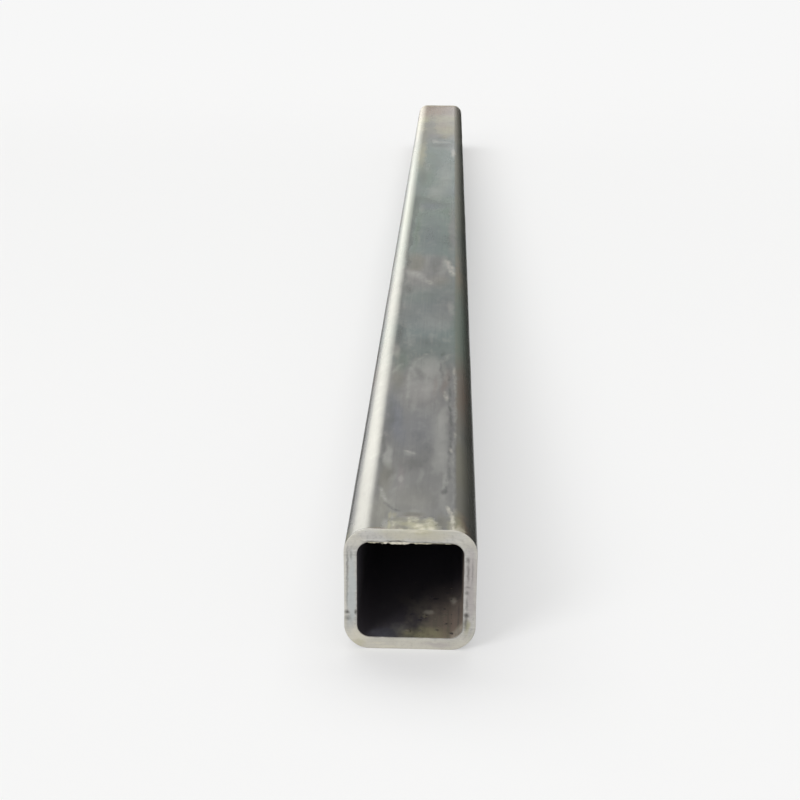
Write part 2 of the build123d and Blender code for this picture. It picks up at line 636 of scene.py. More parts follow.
# Worn and tinted areas of the top: colour, place across, distance from the near end, half width,
# half length, softness, strength and, where it is turned, its turn in degrees. Millimetres.
TOP_PATCHES = (
    ("drab", -62, 70, 16, 85, 0.8, 0.50),
    ("dark", -64, 20, 10, 26, 0.8, 0.16),
    ("drab", -6, 140, 50, 60, 0.9, 0.25),
    ("dark", -24, 96, 20, 20, 0.8, 0.20),
    ("pale", 3, 88, 11, 8, 0.7, 0.18),
    ("pale", 62, 130, 8, 40, 0.8, 0.26),
    ("dark", -72, 340, 5, 230, 0.8, 0.40, 1),
    ("drab", -60, 250, 12, 70, 0.8, 0.55),
    ("dark", -57, 265, 9, 45, 0.8, 0.34),
    ("pale", -60, 366, 8, 58, 0.6, 0.48, 2),
    ("mauve", -31, 255, 7, 60, 0.7, 0.80, 2),
    ("pale", -30, 243, 5, 18, 0.7, 0.40),
    ("pale", -16, 388, 10, 15, 0.6, 0.40, 22),
    ("pale", 10, 260, 5, 65, 0.7, 0.24),
    ("dark", 9, 325, 4, 16, 0.7, 0.26),
    ("blue", -4, 530, 46, 120, 0.9, 0.34),
    ("pale", 49, 430, 17, 190, 0.75, 0.42, 2),
    ("pale", 56, 560, 11, 85, 0.75, 0.38),
    ("pale", 60, 232, 6, 38, 0.5, 0.44),
    ("dark", 61, 184, 6, 12, 0.6, 0.56),
    ("blue", -46, 560, 14, 110, 0.8, 0.55, 4),
    ("blue", -60, 640, 17, 130, 0.8, 0.70, 2),
    ("dark", -66, 600, 10, 130, 0.8, 0.45, 2),
    ("pale", -14, 700, 7, 55, 0.7, 0.28),
    ("pale", 56, 620, 11, 60, 0.6, 0.32, -2),
    ("dark", -60, 840, 14, 95, 0.8, 0.42),
    ("drab", -60, 900, 14, 90, 0.8, 0.40),
    ("pale", 8, 900, 43, 175, 0.20, 0.28, -3),
    ("mauve", 10, 780, 40, 80, 0.6, 0.35),
    ("pale", 22, 990, 30, 70, 0.6, 0.26),
    ("pale", 15, 880, 10, 130, 0.7, 0.26),
    ("dark", -6, 925, 8, 44, 0.8, 0.40, 6),
    ("dark", 47, 950, 4, 60, 0.8, 0.44),
    ("brown", 58, 860, 8, 75, 0.9, 0.36, -3),
    ("brown", 34, 830, 5, 60, 0.9, 0.20),
    ("pale", 57, 950, 6, 55, 0.8, 0.22),
    ("green", -52, 1025, 18, 80, 0.8, 0.60),
    ("dark", -36, 1085, 14, 50, 0.8, 0.14, 20),
    ("warm", -68, 1108, 10, 64, 0.6, 0.20, 2),
    ("pale", -68, 1110, 9, 58, 0.6, 0.36, 2),
    ("teal", 20, 1230, 70, 120, 0.7, 0.50),
    ("blue", -10, 1360, 66, 170, 0.8, 0.26),
    ("dark", 4, 1195, 32, 42, 0.8, 0.22, 8),
    ("dark", -66, 1280, 10, 90, 0.8, 0.45),
    ("pale", 26, 1390, 34, 100, 0.8, 0.20),
    ("blue", 10, 1600, 60, 110, 0.8, 0.30),
    ("teal", -10, 1580, 66, 150, 0.8, 0.40),
    ("pale", 72, 1530, 8, 60, 0.7, 0.40),
    ("green", -20, 1660, 50, 60, 0.9, 0.22),
    ("dark", -56, 1740, 12, 55, 0.7, 0.56),
    ("dark", -74, 1900, 7, 420, 0.8, 0.45),
    ("mauve", 0, 1985, 78, 215, 0.30, 0.55),
    ("drab", -42, 2075, 30, 125, 0.5, 0.55),
    ("dark", -40, 1830, 40, 60, 0.9, 0.22),
    ("pale", -4, 2120, 7, 80, 0.8, 0.22),
    ("dark", 20, 2070, 14, 110, 0.8, 0.16),
    ("drab", 40, 1850, 28, 60, 0.8, 0.35),
    ("pale", 50, 2080, 9, 90, 0.8, 0.34),
    ("pale", 66, 2010, 11, 70, 0.8, 0.60, 8),
    ("pale", 40, 1985, 13, 60, 0.8, 0.34),
    ("pale", -40, 1920, 22, 42, 0.8, 0.34, 12),
    ("dark", -52, 2090, 26, 110, 0.8, 0.20),
    ("teal", -8, 2590, 76, 370, 0.30, 0.75),
    ("dark", -16, 2480, 46, 300, 0.9, 0.12),
    ("mauve", 76, 2600, 12, 380, 0.8, 0.60),
    ("blue", 0, 2450, 34, 240, 0.9, 0.30),
    ("green", -50, 2560, 9, 260, 0.9, 0.90),
    ("dark", -73, 2500, 8, 380, 0.9, 0.56),
    ("pale", -43, 2430, 5, 60, 0.9, 0.20),
    ("pale", -42, 2960, 9, 70, 0.9, 0.28),
    ("blue", -10, 3010, 44, 70, 0.9, 0.55),
    ("dark", -66, 3060, 10, 150, 0.9, 0.52),
    ("green", 24, 3480, 38, 150, 0.8, 0.35),
    ("pale", 4, 3280, 30, 150, 0.9, 0.42),
    ("green", 22, 3300, 34, 170, 0.9, 0.22),
    ("pale", 52, 3450, 24, 330, 0.9, 0.12),
    ("green", -38, 3680, 30, 280, 0.7, 0.70),
    ("dark", -54, 3640, 14, 180, 0.7, 0.40),
    ("pale", 42, 3700, 28, 260, 0.8, 0.22),
    ("pale", -40, 3870, 12, 95, 0.9, 0.26),
    ("dark", -56, 3960, 11, 60, 0.9, 0.32),
    ("dark", 12, 4000, 9, 55, 0.9, 0.20),
    ("green", -26, 4190, 22, 90, 0.8, 0.50),
    ("dark", -2, 4190, 6, 65, 0.9, 0.22),
    ("olive", -70, 4260, 17, 350, 0.9, 0.70),
    ("drab", -66, 4800, 13, 250, 0.9, 0.55),
    ("pale", 77, 4270, 8, 110, 0.9, 0.60),
    ("dark", 20, 4500, 50, 46, 0.8, 0.50, 2),
    ("pale", -12, 4620, 14, 48, 0.8, 0.50),
    ("pale", 30, 4600, 30, 28, 0.7, 0.30),
    ("dark", 10, 4750, 9, 48, 0.8, 0.50),
    ("drab", 32, 4780, 18, 60, 0.8, 0.80),
    ("olive", 46, 5000, 36, 190, 0.9, 0.70),
    ("warm", 20, 5200, 30, 150, 0.9, 0.40),
    ("blue", -42, 5230, 24, 330, 0.7, 0.35),
    ("pale", 24, 5400, 48, 200, 0.9, 0.30),
    ("warm", 10, 5880, 90, 110, 0.6, 0.55),
    ("brown", -58, 5880, 26, 110, 0.8, 0.55),
    ("brown", 0, 5950, 90, 50, 0.6, 0.35),
)
# The stain at the near end of the top: its pool, as place across, distance from the end, half
# width and half length of each lobe, and the spots and bare places in it, as in the table above.
POOL_LOBES = ((4, -6, 49, 40), (-20, 22, 22, 32), (2, 28, 20, 30), (28, 20, 20, 32))
STAIN_PATCHES = (
    ("stain", -3, 27, 18, 9, 0.6, 0.34),
    ("stain", 24, 12, 22, 15, 0.7, 0.36),
    ("cream", 14, 20, 6, 8, 0.8, 0.34),
    ("cream", 21, 1, 6, 9, 0.8, 0.44),
    ("cream", 36, 5, 6, 10, 0.8, 0.50),
    ("drab", -12, 6, 6, 8, 0.7, 0.55),
    ("dark", -11, 7, 5, 8, 0.8, 0.26),
    ("brown", -28, 9, 11, 9, 0.7, 0.16),
    ("drab", -27, 46, 10, 10, 0.7, 0.60),
    ("dark", -28, 46, 9, 9, 0.8, 0.18),
    ("drab", 2, 71, 18, 9, 0.7, 0.60),
    ("dark", 2, 70, 16, 7, 0.8, 0.22),
    ("olive", -34, 66, 6, 11, 0.8, 0.60),
    ("pale", -37, 58, 3, 8, 0.8, 0.40),
    ("stain", 34, 49, 6, 9, 0.8, 0.26),
    ("drab", 19, 40, 5, 12, 0.8, 0.55),
    ("drab", 26, 22, 4, 9, 0.8, 0.45),
    ("drab", -41, 24, 4, 26, 0.8, 0.45),
    ("brown", 0, 62, 22, 5, 0.8, 0.24),
    ("olive", 40, 28, 9, 13, 0.7, 0.60),
    ("pale", -50, 28, 6, 16, 0.7, 0.40),
    ("dark", -48, 64, 5, 18, 0.7, 0.26),
    ("drab", 56, 36, 9, 30, 0.8, 0.60),
    ("dark", 54, 42, 5, 12, 0.8, 0.24),
    ("dark", 55, 6, 5, 8, 0.8, 0.22),
    ("drab", -62, 1, 19, 9, 0.6, 0.60),
    ("brown", -62, 0, 19, 7, 0.6, 0.36),
)
# Green, brown and rusty lengths of the right-hand corner, and its stained and creamy end, in the
# same columns.
CORNER_PATCHES = (
    ("green", 96, 1350, 18, 380, 0.7, 0.70),
    ("brown", 98, 820, 14, 200, 0.7, 0.45),
    ("rust", 96, 1950, 10, 170, 0.7, 0.10),
    ("brown", 95, 20, 11, 60, 0.7, 0.45),
    ("stain", 84, 10, 12, 60, 0.7, 0.34),
    ("cream", 88, -2, 7, 26, 0.7, 0.45),
)
STROKE_SOFTNESS = 0.9
# Scratches, seams and flecks of the top: colour, half width, strength, and the places across and
# along that the line goes through. Millimetres.
TOP_STROKES = (
    ("pale", 4.4, 0.75, ((-65, 190), (-57, 152), (-49, 126))),
    ("dark", 4.0, 0.70, ((-54, 124), (-46, 108), (-37, 94), (-26, 86))),
    ("stain", 2.2, 0.50, ((-41, 74), (-42, 40), (-41, 4))),
    ("fleck", 3.8, 0.26, ((-24, 402), (-13, 393), (-5, 384))),
    ("dark", 3.2, 0.22, ((-8, 372), (-5, 335))),
    ("dark", 3.4, 0.50, ((72, 640), (74, 533), (71, 500), (75, 447), (69, 407))),
    ("dark", 3.4, 0.50, ((69, 407), (72, 373), (67, 333), (70, 267))),
    ("dark", 3.6, 0.60, ((70, 267), (67, 227), (61, 186))),
    ("pale", 3.6, 0.34, ((82, 640), (82, 500), (79, 400), (79, 300), (80, 150))),
    ("fleck", 3.6, 0.28, ((83, 515), (82, 488))),
    ("fleck", 3.4, 0.30, ((72, 415), (75, 396))),
    ("cream", 4.0, 0.50, ((67, 108), (71, 90), (75, 74))),
    ("cream", 4.2, 0.86, ((75, 78), (77, 54), (77, -4))),
    ("fleck", 3.0, 0.30, ((83, 100), (83, 78))),
    ("dark", 3.2, 0.55, ((66, 910), (69, 830), (72, 745), (67, 700), (74, 640))),
    ("pale", 3.4, 0.48, ((83, 900), (84, 760), (83, 620))),
    ("fleck", 4.6, 0.42, ((80, 965), (81, 890))),
    ("fleck", 4.6, 0.46, ((60, 782), (63, 731))),
    ("pale", 5.0, 0.34, ((-29, 720), (-31, 850), (-30, 950), (-24, 990))),
    ("pale", 7.0, 0.34, ((-24, 990), (-14, 1030), (3, 1076), (16, 1092))),
    ("pale", 7.0, 0.40, ((48, 1015), (58, 1045), (68, 1080))),
    ("dark", 5.0, 0.45, ((50, 1112), (50, 1066))),
    ("pale", 6.0, 0.30, ((-72, 930), (-62, 965), (-52, 1000))),
    ("pale", 5.0, 0.26, ((-46, 1312), (-40, 1230), (-34, 1165))),
    ("pale", 17.0, 0.34, ((-50, 1955), (-26, 1905), (6, 1815))),
    ("fleck", 9.0, 0.16, ((0, 1846), (8, 1800))),
    ("fleck", 8.0, 0.46, ((58, 2110), (66, 2050), (72, 1990), (76, 1920))),
    ("dark", 28.0, 0.34, ((-50, 3155), (5, 3085), (59, 3000))),
    ("fleck", 8.0, 0.36, ((77, 4360), (77, 4200))),
)

# Marks in the face of the near cut: colour, place across, height, half width, half height,
# softness and strength. Millimetres.
CUT_PATCHES = (
    ("sawn_olive", 12, 240, 66, 12, 0.5, 0.60),
    ("stain", 20, 244, 12, 7, 0.8, 0.45),
    ("sawn_cool", -111, 120, 8, 74, 0.4, 0.80),
    ("sawn_pink", 113, 140, 11, 70, 0.5, 0.75),
    ("cream", 0, 8, 112, 17, 0.5, 0.52),
    ("sawn_pink", 52, 11, 26, 5, 0.7, 0.55),
    # Painted highlights: cream at the four corners of the face, where its rim catches the light.
    ("cream", 104, 20, 18, 16, 0.7, 0.36),
    ("cream", -98, 26, 22, 20, 0.7, 0.80),
    ("cream", -100, 224, 16, 13, 0.7, 0.35),
    ("cream", 102, 224, 16, 13, 0.7, 0.32),
    ("stain", -100, 10, 16, 8, 0.6, 0.35),
    ("sawn_dark", 106, 56, 4, 12, 0.9, 0.45),
    ("stain", 108, 50, 5, 14, 0.7, 0.50),
)
CUT_FLECKS = (
    ("sawn_dark", 107, 190, 3.0, 5.0, 0.9, 0.62),
    ("sawn_dark", 108, 163, 2.2, 18.0, 0.9, 0.60),
    ("sawn_dark", 108, 134, 4.0, 2.0, 0.9, 0.50),
    ("sawn_dark", 107, 121, 3.0, 3.6, 0.9, 0.62),
    ("sawn_dark", 107, 98, 2.0, 13.0, 0.9, 0.48),
    ("sawn_dark", 107, 75, 4.4, 4.2, 0.9, 0.95),
    ("sawn_dark", 105, 60, 3.0, 12.0, 0.9, 0.60),
    ("sawn_dark", 116, 165, 1.2, 22.0, 0.9, 0.40),
    ("sawn_dark", -119, 77, 3.6, 3.6, 0.9, 0.85),
    ("sawn_dark", -118, 64, 4.4, 4.4, 0.9, 0.50),
    ("sawn_dark", -103, 77, 2.6, 4.0, 0.9, 0.85),
    ("sawn_dark", -118, 172, 1.8, 34.0, 0.9, 0.55),
    ("sawn_dark", -111, 196, 2.0, 9.0, 0.9, 0.40),
    ("sawn_dark", -119, 112, 1.4, 26.0, 0.9, 0.35),
    # Painted shadow: a broken dark line along the top of the mouth, above the burr.
    ("sawn_dark", -27, 225.6, 20.0, 1.3, 0.7, 0.85),
    ("sawn_dark", -72, 224.0, 16.0, 1.0, 0.8, 0.55),
    ("sawn_dark", 40, 223.4, 32.0, 0.9, 0.8, 0.55),
    ("cream", -40, 5, 20.0, 3.0, 0.6, 0.50),
    ("cream", -62, 12, 12.0, 2.6, 0.6, 0.45),
    ("cream", 12, 246, 16.0, 2.6, 0.7, 0.55),
)
# Dust and haze on the bore's floor: colour, place across, distance from the near end, half width,
# half length and strength. Millimetres.
BORE_PATCHES = (
    ("blue", -52, 16, 22, 20, 0.60),
    ("grey", -22, 34, 16, 22, 0.45),
    ("stain", 30, 14, 34, 26, 0.50),
    ("cream", 34, 104, 9, 9, 0.34),
    ("cream", 82, 150, 7, 14, 0.34),
    # Partly dust and partly painted highlight: pale at the lower right corner of the mouth.
    ("cream", 98, 0, 17, 26, 0.62),
)


# Half size of a mark at right angles to the face that it lies on. Millimetres.
PATCH_DEPTH = 50


def millimetres(*values):
    """Millimetres as metres."""
    return tuple(value / 1000 for value in values)


def top_place(across, along):
    """A place on the top, from millimetres across and from the near end."""
    return across / 1000, NEAR_END + along / 1000, SIDE


def top_patches(f, edge, table, depth=PATCH_DEPTH):
    """Paints a table of patches on the top. Depth is their half size up and down."""
    for name, across, along, wide, long, soft, strength, *turn in table:
        reach = millimetres(wide, long, depth)
        f.paint(name, f.patch(edge, top_place(across, along), reach, soft, *turn), strength)


def from_cut(f):
    """Distance from the nearer cut end."""
    return f.math("SUBTRACT", LENGTH / 2, f.math("ABSOLUTE", f.y))


def lay_scale(f):
    """Tints the skin: drifting scale colours, then plates, marks, mottling and rolling lines.

    Returns the noise that lays the plates.
    """
    sway = f.times(f.math("SUBTRACT", f.noise(2.4), 0.5), 0.9)
    from_near = f.math("ADD", f.math("SUBTRACT", f.y, NEAR_END), sway)
    along = f.math("DIVIDE", from_near, LENGTH)
    f.tint = f.ramp(along, [(where, getattr(f.colours, name)) for where, name in SCALE_DRIFT])
    clouds = f.noise(2.1, 2.0, f.mapped((1.0, 0.45, 1.0), (3.1, 0.7, 1.9)))
    f.shade("blue", clouds, 0.52, 0.70, 0.45)
    ragged = f.warped(0.030, 14.0, 0.6)
    plates = f.noise(5.0, 3.0, f.mapped((1.0, 0.45, 1.0), (0.4, 0.2, 0.0), ragged))
    f.shade("pale", plates, 0.54, 0.72, 0.30)
    f.shade("dark", plates, 0.46, 0.32, 0.26)
    top_patches(f, ragged, TOP_PATCHES, 1.2 * PATCH_DEPTH)
    small = f.noise(34.0, 3.0, f.mapped((1.0, 0.35, 1.0), (0.0, 5.0, 0.0)), 0.55)
    fading = f.step(from_near, 0.8, 2.6, 1.0, 0.55)
    f.paint("pale", f.step(small, 0.50, 0.74, 0.0, 0.22), fading)
    f.paint("dark", f.step(small, 0.50, 0.26, 0.0, 0.24), fading)
    lines = f.noise(1.0, 3.0, f.mapped((160.0, 3.2, 160.0)))
    f.shade("pale", lines, 0.54, 0.75, 0.08)
    f.shade("dark", lines, 0.46, 0.25, 0.14)
    return plates


def brown_and_shade_sides(f, plates, on_top):
    """Browner patches away from the top; painted shade darkens the left side and the drab right
    side.
    """
    blush = f.step(f.noise(4.2, 4.0, f.mapped((1.0, 0.6, 1.0), (7.0, 1.0, 2.0)), 0.6), 0.50, 0.68)
    f.paint("brown", blush, f.math("SUBTRACT", 0.55, f.times(on_top, 0.5)))
    # Painted shade: the outer left corner and side are darkened, as if shaded.
    f.shade("dark", f.x, -0.455 * SIDE, -0.478 * SIDE, 0.5)
    upper = f.step(f.z, 0.74 * SIDE, 0.86 * SIDE, 0.2, 1.0)
    worn = f.times(f.step(plates, 0.30, 0.60, 0.38, 0.85), upper)
    f.paint("drab", f.step(f.x, 0.318 * SIDE, 0.350 * SIDE), worn)
    # Painted shade: the upper right corner and side are darkened, as if shaded from beside the
    # tube.
    f.paint("dark", f.step(f.x, 0.34 * SIDE, 0.47 * SIDE, 0.0, 0.66), upper)


def stain_ends(f, on_top):
    """Stain along the cut ends, in patches. On the near top it is one pool in the middle.

    Returns the frayed places that its outline follows, and how much pale stain lies where.
    """
    from_end = from_cut(f)
    spotty = f.noise(46.0, 4.0, f.mapped((1.0, 0.9, 1.0), (0.3, 0.0, 0.0)), 0.58)
    at_end = f.math("SUBTRACT", from_end, f.times(f.noise(14.0), 0.10))
    at_end = f.step(at_end, 0.030, -0.045)
    frayed = f.warped(0.036, 34.0, 1.0, 4.0, 0.6)
    pool = f.largest(
        f.patch(frayed, top_place(across, along), millimetres(wide, long, PATCH_DEPTH), 0.40)
        for across, along, wide, long in POOL_LOBES
    )
    clean = f.math("MAXIMUM", on_top, f.step(f.x, 0.30 * SIDE, 0.40 * SIDE))
    near_top = f.times(clean, f.step(f.y, NEAR_END + 0.30, NEAR_END + 0.25))
    at_end = f.times(at_end, f.math("SUBTRACT", 0.8, near_top))
    pool = f.math("MAXIMUM", pool, f.math("MAXIMUM", at_end, 0.0))
    f.paint("drab", pool, f.step(spotty, 0.55, 0.38, 0.0, 0.85))
    speckled = f.times(pool, f.step(spotty, 0.38, 0.60, 0.10, 1.0))
    f.paint("stain", speckled, 0.44)
    f.paint("cream", pool, f.step(spotty, 0.53, 0.64, 0.0, 0.34))
    return frayed, speckled


def scale_finish(colours):
    """Mill scale of the outside: grey tints that drift along the tube, worn patches, streaks,
    scratches, and stains near the sawn end."""
    f = Finish("mill_scale", colours)
    plates = lay_scale(f)
    on_top = f.step(f.z, 0.90 * SIDE, 0.975 * SIDE)
    brown_and_shade_sides(f, plates, on_top)
    frayed, speckled = stain_ends(f, on_top)
    ragged = f.warped(0.012, 50.0, 0.4, 6.0, 0.7)
    top_patches(f, ragged, STAIN_PATCHES)
    top_patches(f, frayed, CORNER_PATCHES)
    broken = f.step(f.noise(75.0, 4.0, f.mapped((1.0, 0.4, 1.0)), 0.7), 0.36, 0.60, 0.25, 1.0)
    for name, wide, strength, corners in TOP_STROKES:
        line = [top_place(*corner) for corner in corners]
        f.paint(name, f.stroke(ragged, line, wide / 1000, STROKE_SOFTNESS), broken, strength)
    rough = f.math("ADD", f.step(plates, 0.35, 0.65, 0.21, 0.27), f.times(speckled, 0.30))
    height = f.noise(60.0, 3.0, f.mapped((1.0, 0.35, 1.0)))
    grain = f.noise(260.0, 2.0, f.mapped((1.0, 0.4, 1.0)))
    relief = f.bump(height, 0.3, 0.0003, f.bump(grain, 0.25, 0.00012))
    return f.made(roughness=rough, ior=1.5, normal=relief)


def sawn_finish(colours):
    """Bare sawn steel of the two cut ends: straight saw lines, stains and dark pits."""
    f = Finish("sawn_steel", colours, colours.sawn)
    bow = f.times(f.x, f.x, 0.35)
    place = f.add("ShaderNodeCombineXYZ", f.x, f.y, f.math("ADD", f.z, bow)).outputs[0]
    lines = f.noise(1.0, 2.0, f.mapped((7.0, 7.0, 560.0), place=place))
    broad = f.noise(1.0, 1.0, f.mapped((5.0, 5.0, 150.0), (0.0, 0.0, 9.0), place=place))
    cloud = f.noise(22.0, 3.0)
    grain = f.noise(170.0, 4.0, None, 0.65)
    f.shade("sawn_dark", lines, 0.35, 0.70, 0.14)
    f.shade("sawn_dark", broad, 0.50, 0.75, 0.14)
    f.shade("sawn_dark", cloud, 0.55, 0.35, 0.16)
    f.shade("sawn_dark", grain, 0.50, 0.30, 0.26)
    f.shade("cream", grain, 0.52, 0.72, 0.30)
    across = f.add("ShaderNodeAttribute", attribute_name="across").outputs["Fac"]
    # The outer third of the wall is painted paler, a painted highlight where the rim catches the
    # light, and a darker line runs round inside it.
    rim = f.step(f.math("ADD", across, f.times(cloud, 0.3)), 0.48, 0.18)
    f.paint("cream", rim, 0.28)
    middle = f.step(f.math("ABSOLUTE", f.math("SUBTRACT", across, 0.52)), 0.14, 0.02)
    broken = f.step(f.noise(30.0, 3.0, f.mapped(shift=(2.0, 0.0, 4.0))), 0.50, 0.64)
    f.paint("sawn_dark", middle, broken, 0.28)
    ragged = f.warped(0.020, 40.0)
    torn = f.warped(0.006, 110.0)
    for table, edge in ((CUT_PATCHES, ragged), (CUT_FLECKS, torn)):
        for name, side, high, wide, tall, soft, strength in table:
            centre = (side / 1000, NEAR_END, high / 1000)
            reach = millimetres(wide, PATCH_DEPTH, tall)
            f.paint(name, f.patch(edge, centre, reach, soft), strength)
    # The face darkens along its inner edge.
    inner_edge = f.math("ADD", across, f.times(f.noise(70.0, 3.0), 0.16))
    f.shade("sawn_dark", inner_edge, 1.0, 1.07, 0.55)
    rough = f.step(lines, 0.3, 0.7, 0.42, 0.56)
    relief = f.bump(lines, 0.25, 0.0003, f.bump(grain, 0.25, 0.0004))
    return f.made(metallic=0.2, roughness=rough, normal=relief)


def bore_finish(colours):
    """Dark scale in the tube; dust clouds, haze, brown streaks and painted light near each mouth.
    """
    f = Finish("bore_scale", colours, colours.bore)
    from_end = from_cut(f)
    cloud = f.noise(19.0, 5.0, f.mapped((1.0, 0.6, 1.0)), 0.62)
    drift = f.times(f.math("SUBTRACT", cloud, 0.5), 0.30)
    inside = f.step(f.math("ADD", from_end, drift), 0.25, 0.0)
    low = f.step(f.z, 0.85 * SIDE, 0.15 * SIDE)
    right = f.step(f.math("ADD", f.x, drift), -0.28 * SIDE, 0.26 * SIDE, 0.02, 1.0)
    mottled = f.step(cloud, 0.36, 0.60, 0.30, 1.0)
    # Partly dust and partly painted light: brightest just inside the mouth, low down and at the
    # right, where light falls in.
    f.paint("bore_dust", inside, low, right, mottled)
    # Brown streaks run inwards on the right, low down, partly painted light falling on that wall; a
    # bluish haze lies at the left and pale dust between.
    frayed = f.warped(0.030, 30.0)
    streaks = f.noise(1.0, 3.0, f.mapped((130.0, 5.0, 130.0)))
    side = f.times(f.step(f.x, 0.04 * SIDE, 0.30 * SIDE), inside)
    lined = f.step(from_end, 0.16, 0.04)
    veined = f.blend(lined, mottled, f.step(streaks, 0.36, 0.62, 0.2, 0.9))
    f.paint("bore_streak", side, veined, f.step(f.z, 0.85 * SIDE, 0.3 * SIDE, 0.55, 0.9))
    for name, across, along, wide, long, strength in BORE_PATCHES:
        centre = (across / 1000, NEAR_END + along / 1000, 0.13 * SIDE)
        egg = f.patch(frayed, centre, millimetres(wide, long, PATCH_DEPTH), 0.6)
        f.paint(name, egg, f.step(cloud, 0.34, 0.60, 0.2, strength))
    return f.made(roughness=0.75, normal=f.bump(f.noise(160.0, 4.0), 0.4, 0.0006))


def burr_finish(colours):
    """Torn steel of the burr: bright along its longest strip, dirty elsewhere."""
    f = Finish("burr_steel", colours, colours.sawn_olive)
    strip = f.patch(f.place, (-0.024, NEAR_END, 0.89 * SIDE), (0.027, 0.05, 0.05), 0.15)
    f.paint("cream", strip)
    f.shade("olive", f.noise(140.0, 3.0), 0.46, 0.62, 0.45)
    dark = f.step(f.noise(70.0, 2.0, f.mapped(shift=(4.0, 1.0, 0.0))), 0.50, 0.62, 0.0, 0.75)
    f.paint("sawn_dark", dark, f.math("SUBTRACT", 1.0, strip))
    return f.made(metallic=0.1, roughness=0.55)


def flake_finish(colours):
    """Loose scale: dark grey to rusty flakes, some of them pale."""
    f = Finish("flake_scale", colours, colours.bore)
    pick = f.noise(31.0, 1.0)
    f.shade("bore_dust", pick, 0.42, 0.58)
    f.shade("bore_streak", pick, 0.64, 0.70)
    return f.made(roughness=0.6)


# ---------------------------------------------------------------- stage

# The reflector's brightness round its middle, from its left (0) over the top (0.5) to its right
# (1), in a narrow ring, a middle ring and a wide one, which the tube's near end mirrors.
REFLECTOR_TURNS = (0.0, 0.12, 0.24, 0.33, 0.4, 0.45, 0.48, 0.53, 0.6, 0.7, 0.82, 1.0)
REFLECTOR_RINGS = (
    (2.4, 1.15, 1.05, 0.8, 0.75, 0.45, 0.6, 1.25, 0.65, 0.5, 0.1, 0.0),
    (2.2, 2.5, 2.1, 1.2, 1.0, 0.6, 0.0, 0.15, 0.3, 0.3, 0.2, 0.0),
    (3.0, 3.9, 5.4, 5.5, 3.7, 0.5, 0.3, 0.8, 0.15, 0.3, 0.1, 0.0),
)
REFLECTOR_STRENGTH = 6.0
# The tint of its left part, the grey of its rim, its corners across and up, and its place along.
REFLECTOR_TINT = (1.0, 0.985, 0.89)
REFLECTOR_EDGE = (0.15, 0.15, 0.15)
REFLECTOR_OUTLINE = ((-26.0, 0.0), (26.0, 0.0), (26.0, 16.0), (-26.0, 16.0))
REFLECTOR_PLACE = 20.5
# Dark cards beside the tube: how far to its right each stands, and its outline as places along
# and up. The lowest part of each upper corner mirrors them.
CARDS = {
    "right_card": (0.27, ((-3.0, 0.0), (4.6, 0.0), (4.6, 0.235), (-3.0, 0.235))),
    "left_card": (-0.27, ((-3.0, 0.0), (4.6, 0.0), (4.6, 0.02), (0.6, 0.11), (-3.0, 0.145))),
}
# The lamps: name, place, what they aim at, width, height, brightness of the face where 1 is
# white, and how many small parts stand for each one in the floor's own sum of their light.
LAMPS = (
    ("key", (-4.6, -7.6, 4.4), (0.0, -2.9, 0.1), 3.2, 3.2, 8.0, (2, 2)),
    ("fill", (-0.6, -9.5, 2.4), (0.0, -3.0, 0.1), 4.0, 2.4, 2.0, (2, 1)),
    ("overhead", (-1.0, 1.4, 5.0), (0.0, 1.4, 0.0), 5.0, 9.0, 2.4, (2, 3)),
)
FLOOR_REACH, FLOOR_STEPS = 60.0, 13
WHITE = (1.0, 1.0, 1.0, 1.0)


def new_tree(tree):
    """Empties a node tree and returns it with the short ways to add nodes."""
    tree.nodes.clear()
    return Nodes(tree)


def seen_directly_or_in_gloss(n):
    """1 for the camera's own rays and for mirror and see-through rays, 0 for the rest."""
    path = n.add("ShaderNodeLightPath").outputs
    kinds = ("Is Camera Ray", "Is Glossy Ray", "Is Transmission Ray")
    return n.largest(path[kind] for kind in kinds)


def new_sheet(name, points, faces):
    """A flat piece of the stage, with an empty material for which it returns the nodes."""
    mesh = bpy.data.meshes.new(name)
    mesh.from_pydata(points, [], faces)
    sheet = new_object(name, mesh)
    material = bpy.data.materials.new(name)
    material.use_nodes = True
    mesh.materials.append(material)
    sheet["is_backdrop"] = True
    return sheet, new_tree(material.node_tree)


def new_mirrored_sheet(name, points):
    """A sheet with one face, hidden from all but the steel's gloss."""
    sheet, n = new_sheet(name, points, [tuple(range(len(points)))])
    sheet.visible_camera = False
    sheet.visible_diffuse = False
    sheet.visible_shadow = False
    return n


def lamp_turn(place, aim):
    """The turn of a lamp at place that faces aim."""
    return (Vector(aim) - Vector(place)).to_track_quat("-Z", "Y")


def lamp_parts():
    """The lamps cut into small parts: the place of each, where it faces and its strength."""
    for _, place, aim, width, height, brightness, (columns, rows) in LAMPS:
        turn = lamp_turn(place, aim)
        facing = turn @ Vector((0.0, 0.0, -1.0))
        strength = brightness * width * height / (math.pi * columns * rows)
        for column in range(columns):
            for row in range(rows):
                x = width * ((column + 0.5) / columns - 0.5)
                y = height * ((row + 0.5) / rows - 0.5)
                yield Vector(place) + turn @ Vector((x, y, 0.0)), facing, strength


def light_on_floor(n, place):
    """What the lamps give an open level floor.

    Each part of a lamp gives its strength, times its height, times how far the floor lies in
    front of it, over the distance to the fourth power.
    """
    total = 0.0
    for part, facing, strength in lamp_parts():
        away = n.vector("SUBTRACT", place, part).outputs[0]
        ahead = n.vector("DOT_PRODUCT", away, facing).outputs["Value"]
        reach = n.vector("LENGTH", away).outputs["Value"]
        given = n.math("MAXIMUM", n.math("DIVIDE", ahead, n.math("POWER", reach, 4.0)), 0.0)
        total = n.math("ADD", n.times(given, strength * part.z), total)
    return total


